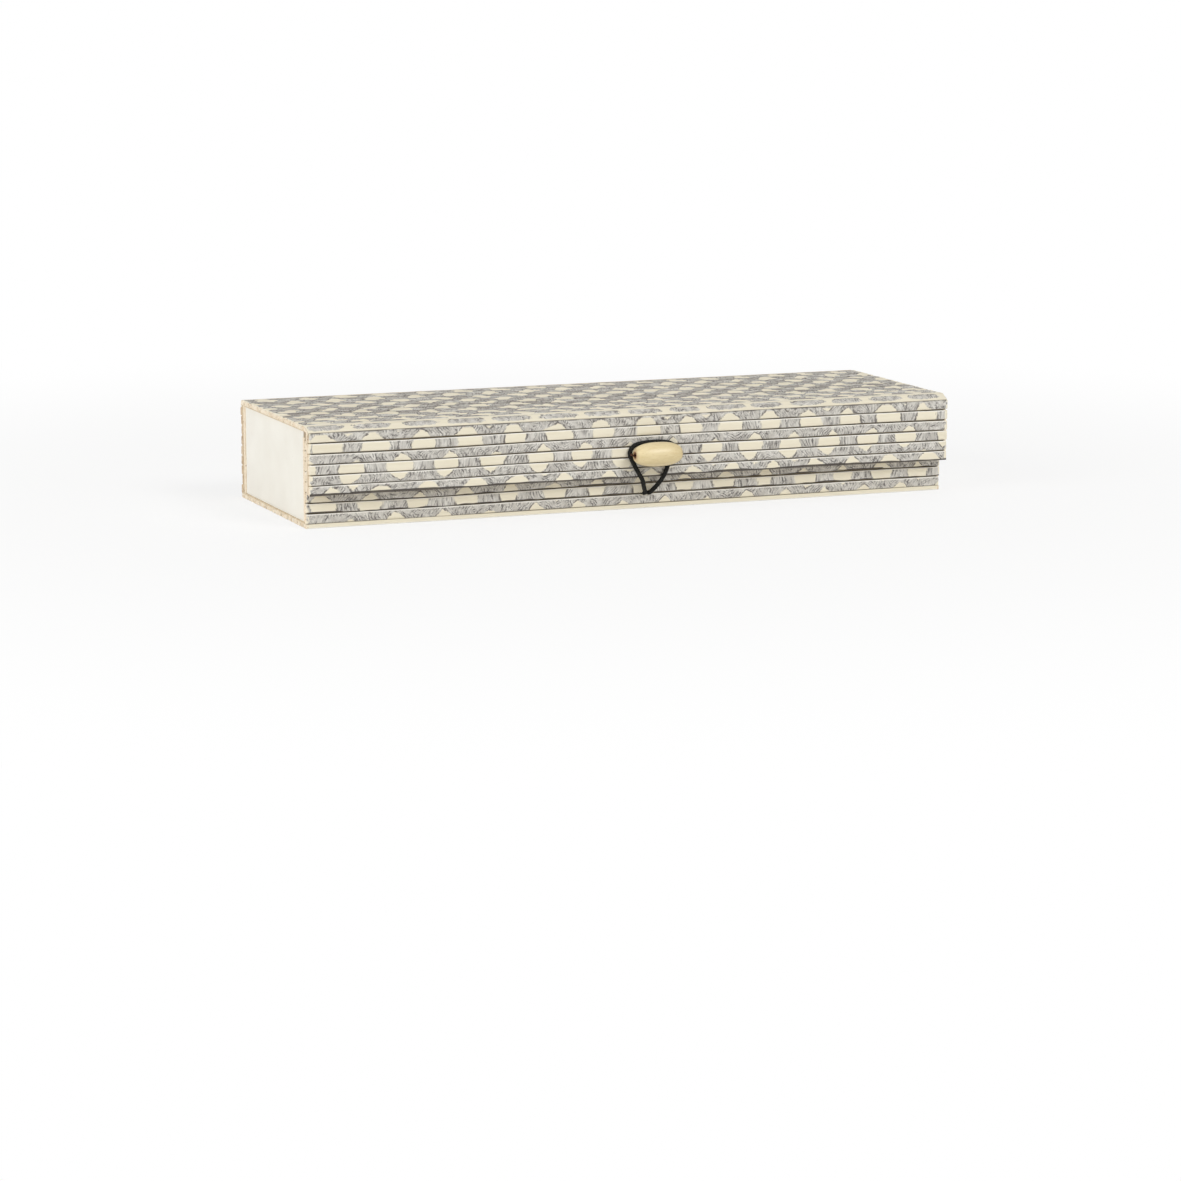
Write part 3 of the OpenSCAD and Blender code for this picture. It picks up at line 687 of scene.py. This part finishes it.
hingeFold = {
    "radius": 1.95 * mm, "inner": 0.06 * mm, "tuck": 0.4 * mm, "steps": 10, "cuts": 60, "pucker": 0.1 * mm,
}
low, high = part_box("hinge_cloth")
joint = [j for j in frame["joints"] if j["name"] == "lid_hinge"][0]
hingeAt = Vector(joint["pos_m"])
bm = bmesh.new()
start = [
    bm.verts.new((low.x, hingeAt.y + hingeFold[r], hingeAt.z - hingeFold["tuck"])) for r in ("inner", "radius")]
strip = bm.edges.new(start)
drop = bmesh.ops.extrude_edge_only(bm, edges=[strip])
raised = [g for g in drop["geom"] if isinstance(g, bmesh.types.BMVert)]
bmesh.ops.translate(bm, verts=raised, vec=(0, 0, hingeFold["tuck"]))
turned = bmesh.ops.spin(
    bm, geom=raised + [e for e in bm.edges if e.verts[0] in raised and e.verts[1] in raised],
    cent=hingeAt, axis=(1, 0, 0), angle=math.pi / 2, steps=hingeFold["steps"])
last = [g for g in turned["geom_last"] if isinstance(g, bmesh.types.BMEdge)]
over = bmesh.ops.extrude_edge_only(bm, edges=last)
bmesh.ops.translate(
    bm, verts=[g for g in over["geom"] if isinstance(g, bmesh.types.BMVert)], vec=(0, -hingeFold["tuck"], 0))
pushed = bmesh.ops.extrude_face_region(bm, geom=bm.faces[:])
bmesh.ops.translate(
    bm, verts=[g for g in pushed["geom"] if isinstance(g, bmesh.types.BMVert)], vec=(high.x - low.x, 0, 0))
longOnes = [e for e in bm.edges if abs(e.verts[0].co.x - e.verts[1].co.x) > 0.1]
bmesh.ops.subdivide_edges(bm, edges=longOnes, cuts=hingeFold["cuts"], use_grid_fill=True)
for v in bm.verts:
    away = Vector((0, v.co.y - hingeAt.y, v.co.z - hingeAt.z))
    if away.length > 1 * mm:
        v.co -= away.normalized() * hingeFold["pucker"] * (0.5 + 0.5 * field(v.co.x / 0.006, away.z / 0.002, 3.1))
fold = makePiece("hingeFold", bm, [cloth], None, ["hinge_cloth"])
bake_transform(fold)
print("hinge fold made")


# bead

beadShape = {
    "steps": 30, "round": 56, "rimEdge": 0.35 * mm, "boreEdge": 0.25 * mm, "bore": 2.0 * mm,
    "half": 9.3 * mm, "reach": 9.95 * mm, "power": 2.5,
}


def beadFinish():
    # pale turned wood under a thin satin varnish
    finish, tree, shader = newFinish("beadWood", 0.36, 0.45)
    shader.inputs["Coat Weight"].default_value = 0.25
    shader.inputs["Coat Roughness"].default_value = 0.28
    body = bodyPlace(tree)
    grain = cloud(tree, placed(tree, body, (130, 1500, 1500)), 1.0, 4.0, 0.55).outputs[0]
    bands = cloud(tree, placed(tree, body, (45, 330, 330)), 1.0, 2.0).outputs[0]
    pores = scribble(tree, body, (260, 2600, 2600), 0, (0, 0, 0), 0.03)
    colour = tint(tree, fade(tree, bands, 0.3, 0.7), tone(233, 215, 170), tone(221, 201, 151))
    colour = tint(tree, calc(tree, "MULTIPLY", fade(tree, grain, 0.5, 0.8), 0.5), colour, tone(212, 184, 128))
    colour = tint(tree, calc(tree, "MULTIPLY", pores, 0.16), colour, tone(176, 142, 92))
    ends = mark(tree, "rim")
    colour = tint(tree, calc(tree, "MULTIPLY", ends, 0.9), colour, tone(128, 72, 44))
    colourIt(tree, shader, colour)
    bumpIt(tree, shader, grain, 0.00005, 0.35)
    return finish


low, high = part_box("bead")
beadAt = (low + high) / 2
halfLong, fat = beadShape["half"], (high.z - low.z) / 2
bm = bmesh.new()
outline = []
for k in range(beadShape["steps"] + 1):
    x = -halfLong * math.cos(math.pi * k / beadShape["steps"])
    share = 1 - (abs(x) / beadShape["reach"]) ** beadShape["power"]
    outline.append(bm.verts.new(beadAt + Vector((x, 0, fat * share ** (1 / beadShape["power"])))))
    if k:
        bm.edges.new(outline[-2:])
boreEnds = []
for v in (outline[0], outline[-1]):
    grown = bmesh.ops.extrude_vert_indiv(bm, verts=[v])
    bmesh.ops.translate(
        bm, verts=grown["verts"], vec=(0, 0, beadAt.z + beadShape["bore"] / 2 - v.co.z))
    boreEnds += grown["verts"]
bm.edges.new(boreEnds)
for group, offset in (((outline[0], outline[-1]), beadShape["rimEdge"]), (boreEnds, beadShape["boreEdge"])):
    bmesh.ops.bevel(
        bm, geom=list(group), offset=offset, offset_type="OFFSET", affect="VERTICES",
        segments=3, profile=0.5, material=-1)
bmesh.ops.spin(
    bm, geom=bm.verts[:] + bm.edges[:], cent=beadAt, axis=(1, 0, 0), angle=2 * math.pi,
    steps=beadShape["round"], use_merge=True)
rim = bm.verts.layers.float.new("rim")
for v in bm.verts:
    reach = (v.co - beadAt).yz.length
    endShare = max(0, abs(v.co.x - beadAt.x) / halfLong - 0.93) / 0.07
    v[rim] = max(min(1, endShare) * 0.35, 1.0 if reach < beadShape["bore"] * 0.66 else 0.0)
makePiece("woodBead", bm, [beadFinish()], "bead", ["bead"], 50)
print("bead made")


# cords

cordLook = {"black": ((13, 13, 12), (47, 47, 43)), "brown": ((48, 26, 18), (104, 62, 44))}


def cordFinish(name, colours, crossings, lay):
    finish, tree, shader = newFinish(name, 0.8, 0.25)
    flat = drawnMap(tree, "lay")
    parts = split(tree, flat)
    turns = [calc(tree, "MULTIPLY", parts[1], 2 * math.pi * crossings * s) for s in (1, -1)]
    run = calc(tree, "MULTIPLY", parts[0], 2 * math.pi / lay)
    waves = [calc(tree, "SINE", calc(tree, "ADD", run, t)) for t in turns]
    braid = calc(tree, "MAXIMUM", *waves)
    fuzz = cloud(tree, placed(tree, flat, (3.0, 40.0, 1)), 1.0, 3.0).outputs[0]
    shine = calc(tree, "MULTIPLY", fade(tree, braid, 0.2, 1.0), fuzz)
    colourIt(tree, shader, tint(tree, shine, *(tone(*c) for c in cordLook[colours])))
    bumpIt(tree, shader, calc(tree, "ADD", braid, fuzz), 0.00012, 0.7)
    return finish


def smoothPath(points, step):
    # even points along a smooth curve through the given ones
    fine = []
    for i in range(len(points) - 1):
        a, b = points[max(i - 1, 0)], points[i]
        c, d = points[i + 1], points[min(i + 2, len(points) - 1)]
        for s in range(24):
            t = s / 24
            fine.append(0.5 * (2 * b + (c - a) * t + (2 * a - 5 * b + 4 * c - d) * t * t
                               + (3 * b - a - 3 * c + d) * t * t * t))
    fine.append(points[-1])
    path, left = [fine[0]], step
    for a, b in zip(fine, fine[1:]):
        span = (b - a).length
        while left <= span:
            path.append(a.lerp(b, left / span))
            left += step
        left -= span
    return path


def makeCord(name, points, cord, relief, finish, body, replaced):
    # a ring drawn along the path, its radius following the lay of the strands
    wide, step = cord["wide"], cord["step"]
    path = smoothPath(points, step)
    bm = bmesh.new()
    along = bm.verts.layers.float.new("along")
    around = bm.verts.layers.float.new("around")
    ring = bmesh.ops.create_circle(bm, segments=cord["sides"], radius=wide / 2)["verts"]
    angleAt = {v: math.atan2(v.co.y, v.co.x) for v in ring}
    way = (path[1] - path[0]).normalized()
    side = way.orthogonal().normalized()
    edges = list({e for v in ring for e in v.link_edges})
    for k, point in enumerate(path):
        way = (path[min(k + 1, len(path) - 1)] - path[max(k - 1, 0)]).normalized()
        side = (side - way * side.dot(way)).normalized()
        other = way.cross(side)
        if k:
            grown = bmesh.ops.extrude_edge_only(bm, edges=edges)["geom"]
            fresh = [g for g in grown if isinstance(g, bmesh.types.BMVert)]
            edges = [g for g in grown if isinstance(g, bmesh.types.BMEdge)]
            twin = {}
            for v in fresh:
                twin[v] = [e.other_vert(v) for e in v.link_edges if e.other_vert(v) in angleAt][0]
            angleAt = {v: angleAt[old] for v, old in twin.items()}
            edges = [e for e in edges if e.verts[0] in angleAt and e.verts[1] in angleAt]
        for v, a in angleAt.items():
            r = wide / 2 * relief(a, k * step)
            v.co = point + side * math.cos(a) * r + other * math.sin(a) * r
            v[along], v[around] = k * step / mm, a / (2 * math.pi) + 0.5
    bmesh.ops.holes_fill(bm, edges=[e for e in bm.edges if e.is_boundary])
    layMap = bm.loops.layers.uv.new("lay")
    for f in bm.faces:
        turns = [c.vert[around] for c in f.loops]
        for c in f.loops:
            turn = c.vert[around]
            if max(turns) - min(turns) > 0.5 and turn < 0.5:
                turn += 1
            c[layMap].uv = (c.vert[along], turn)
    return makePiece(name, bm, [finish], body, replaced, 60)


loopCord = {"wide": 1.7 * mm, "sides": 18, "step": 0.28 * mm, "lay": 1.6 * mm, "crossings": 4, "depth": 0.05}
tieCord = {"wide": 0.8 * mm, "sides": 12, "step": 0.16 * mm, "lay": 1.9 * mm, "plies": 3, "depth": 0.14}
loopMouth = Vector([j for j in frame["joints"] if j["name"] == "loop_swing"][0]["pos_m"])
frontFace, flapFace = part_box("front_slat_4")[0].y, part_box("flap_slat_3")[0].y
mouth = Vector((loopMouth.x, frontFace, loopMouth.z))
hook = Vector((loopMouth.x, flapFace, beadAt.z))
loopRoute = {
    "start": [(0.92, -2.6, 0), (0.92, -0.2, 0.35), (1.1, 1.1, 0.85), (2.35, 3, 2.9)],
    "end": [(4.2, 0.95, -10.3), (5.8, 1.15, -7.7), (7.7, 1.1, -4.1), (9.25, 1.05, -1), (9.25, 1.05, 1),
            (7.6, 1, 3.0), (4.2, 1, 3.85)],
    "hole": (0.92, 0.35, 1.8),
    "crown": (0, 1, 4.05), "steep": 0.87, "steepBelow": -2,
}


def stepOut(origin, p, hand=1):
    # a point given as sideways, outwards and upwards, in mm
    return origin + Vector((hand * p[0], -p[1], p[2])) * mm


def loopHalf(hand, steep):
    # from the mouth up to the crown, drawn in below the bead
    half = [stepOut(mouth, p, hand) for p in loopRoute["start"]]
    for p in loopRoute["end"]:
        half.append(stepOut(hook, p, hand * (steep if p[2] < loopRoute["steepBelow"] else 1)))
    return half


route = loopHalf(1, loopRoute["steep"]) + [stepOut(hook, loopRoute["crown"])] + loopHalf(-1, 1)[::-1]


def braided(angle, run):
    phase = 2 * math.pi * run / loopCord["lay"]
    turn = loopCord["crossings"] * angle
    return 1 - loopCord["depth"] * (1 - max(math.sin(phase + turn), math.sin(phase - turn)))


elasticLoop = makeCord(
    "elasticLoop", route, loopCord, braided, cordFinish("elasticBraid", "black", 4, 1.6), None,
    ["elastic_loop"])
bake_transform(elasticLoop)

tieRoute = {
    "half": [(8.4, 0), (9.5, 0.05), (10.1, 0.6), (10.25, 1.6), (9.9, 2.6), (9, 3.3), (7.7, 4.0), (6.6, 4.6)],
    "hole": 5.8, "holeWide": 1.4, "reach": (6.65, 8.3),
}
tieHalf = tieRoute["half"] + [(tieRoute["hole"], reach) for reach in tieRoute["reach"]]
right = [beadAt + Vector((x, y, 0)) * mm for x, y in tieHalf]
left = [beadAt + Vector((-x, y, 0)) * mm for x, y in tieHalf]


def twisted(angle, run):
    turn = angle - 2 * math.pi * run / tieCord["lay"] / tieCord["plies"]
    return 1 - tieCord["depth"] * (0.5 - 0.5 * math.cos(tieCord["plies"] * turn))


makeCord(
    "beadTie", left[::-1] + right, tieCord, twisted, cordFinish("tieThread", "brown", 3, 1.9), "lid",
    ["bead_tie"])


def knotFinish(name, colours):
    finish, tree, shader = newFinish(name, 0.85, 0.2)
    body = bodyPlace(tree)
    strands = cloud(tree, placed(tree, body, (900, 2400, 1600)), 1.0, 3.0).outputs[0]
    colourIt(tree, shader, tint(tree, strands, *(tone(*c) for c in cordLook[colours])))
    bumpIt(tree, shader, strands, 0.0002, 0.8)
    return finish


dress({"loop_knot": knotFinish("loopKnot", "black"), "tie_knots": knotFinish("tieKnots", "brown")})
side, rise, wide = (n * mm for n in loopRoute["hole"])
drill(frontSlats, [(mouth.x + s * side, frontFace, mouth.z + rise, wide) for s in (-1, 1)])
drill(flapSlats, [
    (beadAt.x + s * tieRoute["hole"] * mm, flapFace, beadAt.z, tieRoute["holeWide"] * mm) for s in (-1, 1)])
print("cords made")


# camera, floor and light

cameraSet = {"at": (-540.9, -1356.9, 225.9), "heading": 21.70, "pitch": 10.255, "lens": 3800 / 1181 * 36}
cameraData = bpy.data.cameras.new("camera")
cameraData.sensor_width = 36
cameraData.lens = cameraSet["lens"]
cameraData.clip_start, cameraData.clip_end = 0.05, 60
camera = bpy.data.objects.new("camera", cameraData)
camera.location = Vector(cameraSet["at"]) * mm
camera.rotation_euler = (math.radians(90 - cameraSet["pitch"]), 0, math.radians(-cameraSet["heading"]))
scene.collection.objects.link(camera)
scene.camera = camera

stageSet = {"floorTone": (250, 250, 249), "whiten": (0.72, 1.0), "reach": (0.16, 0.5), "sky": 0.5, "size": 30}


def seenWhite(tree, shaded, white, share):
    # what the camera and reflections see is partly plain white, and the light stays as it is
    path = put(tree, "LightPath", {}, {}).outputs
    seen = calc(tree, "MAXIMUM", path["Is Camera Ray"],
                calc(tree, "MAXIMUM", path["Is Glossy Ray"], path["Is Transmission Ray"]))
    return put(tree, "MixShader", {}, {0: calc(tree, "MULTIPLY", seen, share), 1: shaded, 2: white}).outputs[0]


floorFinish, tree, shader = newFinish("paleFloor", 0.9, 0.0)
shader.inputs["Base Color"].default_value = tone(*stageSet["floorTone"])
glow = put(tree, "Emission", {}, {"Color": (1, 1, 1, 1), "Strength": 1.0}).outputs[0]
near, far = stageSet["whiten"]
share = calc(tree, "MULTIPLY_ADD", fade(tree, lengthOf(tree, bodyPlace(tree)), *stageSet["reach"]), far - near, near)
tree.links.new(seenWhite(tree, shader.outputs[0], glow, share), tree.nodes["Material Output"].inputs[0])
bm = bmesh.new()
bmesh.ops.create_grid(bm, x_segments=1, y_segments=1, size=stageSet["size"] / 2)
sheet = bpy.data.meshes.new("floor")
bm.to_mesh(sheet)
bm.free()
sheet.materials.append(floorFinish)
floor = bpy.data.objects.new("floor", sheet)
scene.collection.objects.link(floor)

world = bpy.data.worlds.new("studio")
world.use_nodes = True
tree = world.node_tree
sky = tree.nodes["Background"]
sky.inputs["Color"].default_value = (1, 1, 1, 1)
sky.inputs["Strength"].default_value = stageSet["sky"]
white = put(tree, "Background", {}, {"Color": (1, 1, 1, 1), "Strength": 1.0}).outputs[0]
tree.links.new(seenWhite(tree, sky.outputs[0], white, 1.0), tree.nodes["World Output"].inputs[0])
scene.world = world

lamps = {
    "key": {"at": (0.75, -1.75, 1.5), "power": 20, "size": 0.9},
    "left": {"at": (-1.8, -0.4, 0.7), "power": 14, "size": 1.2},
    "back": {"at": (0.9, 1.9, 0.9), "power": 4.5, "size": 1.4},
}
for name, lamp in lamps.items():
    data = bpy.data.lights.new(name, "AREA")
    data.energy, data.size = lamp["power"], lamp["size"]
    holder = bpy.data.objects.new(name, data)
    holder.location = lamp["at"]
    holder.rotation_euler = (-Vector(lamp["at"])).to_track_quat("-Z", "Y").to_euler()
    scene.collection.objects.link(holder)
print("stage set")
